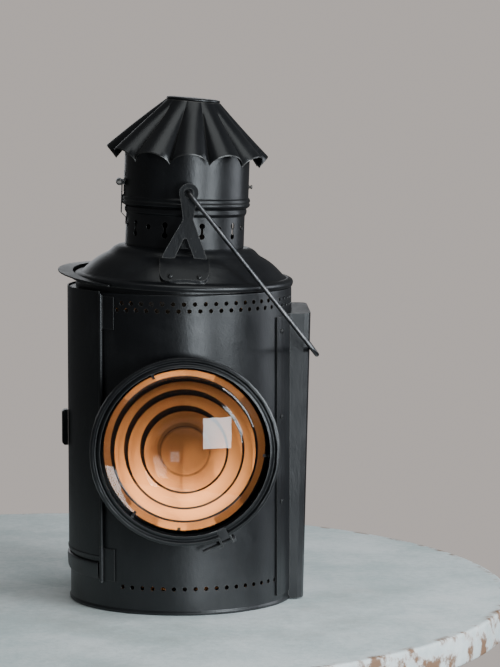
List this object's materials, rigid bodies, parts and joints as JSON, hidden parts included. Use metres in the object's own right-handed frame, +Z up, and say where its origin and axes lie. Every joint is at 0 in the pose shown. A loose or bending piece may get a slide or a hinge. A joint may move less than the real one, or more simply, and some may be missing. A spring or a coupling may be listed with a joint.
{
  "type": "candle lantern",
  "caption": "Sheet-metal signal lantern for a candle: drum body with stepped lens, side door, lamp-iron pocket, hinged chimney with fluted cowl and a wire bail.",
  "frame": {"origin": "centre of the drum's foot, on the surface it stands on", "axes": "+Z up the drum, -Y the way the lens looks, +X towards the lamp-iron pocket"},
  "size_m": [0.1928, 0.1878, 0.3803],
  "materials": {
    "black_paint": "worn satin black enamel over sheet steel",
    "worn_steel": "bare steel, darkened with age",
    "copper": "satin copper, dulled",
    "clear_glass": "pressed clear glass",
    "wax": "cream candle wax",
    "wick": "charred cotton"
  },
  "bodies": {
    "drum": {"body_shell": "black_paint", "dome_top": "black_paint", "door_eave": "black_paint", "lower_chimney": "black_paint", "front_bail_bracket": "black_paint", "rear_bail_bracket": "black_paint", "lens_barrel": "black_paint", "lens_clamp_band": "black_paint", "lamp_iron_socket": "black_paint", "upper_hinge_leaf": "black_paint", "lower_hinge_leaf": "black_paint", "door_sill": "black_paint", "cowl_hinge_strap": "black_paint", "base_plate": "worn_steel", "clamp_screw": "worn_steel", "clamp_nut": "worn_steel", "lens_clip_1": "worn_steel", "lens_clip_2": "worn_steel", "lens_clip_3": "worn_steel", "door_hinge_pin": "worn_steel", "cowl_hinge_pin": "worn_steel", "heat_baffle": "worn_steel", "flue_collar": "worn_steel", "candle_tray": "worn_steel", "candle_cup": "worn_steel", "bracket_rivet_1": "worn_steel", "bracket_rivet_2": "worn_steel", "bracket_rivet_3": "worn_steel", "bracket_rivet_4": "worn_steel", "socket_rivet_1": "worn_steel", "socket_rivet_2": "worn_steel", "socket_rivet_3": "worn_steel", "socket_rivet_4": "worn_steel", "socket_rivet_5": "worn_steel", "socket_rivet_6": "worn_steel", "copper_reflector": "copper", "fresnel_lens": "clear_glass", "candle": "wax", "wick": "wick"},
    "cowl": {"upper_chimney": "black_paint", "fluted_cowl": "black_paint", "cowl_top_disc": "black_paint", "cowl_hinge_leaf": "black_paint", "cowl_stud": "worn_steel"},
    "door": {"door_panel": "black_paint", "door_pull": "black_paint"},
    "bail": {"bail_wire": "worn_steel"}
  },
  "joints": [
    {"name": "door_swing", "type": "hinge", "parent": "drum", "child": "door", "pos_m": [-0.06088, -0.06088, 0.13], "axis": [0, 0, 1], "range_deg": [0, 110]},
    {"name": "cowl_tip", "type": "hinge", "parent": "drum", "child": "cowl", "pos_m": [-0.04588, -0.0015, 0.31592], "axis": [0, -1, 0], "range_deg": [0, 100]},
    {"name": "bail_swing", "type": "hinge", "parent": "drum", "child": "bail", "pos_m": [0.00455, -0.0015, 0.31006], "axis": [0, -1, 0], "range_deg": [0, 268]}
  ]
}
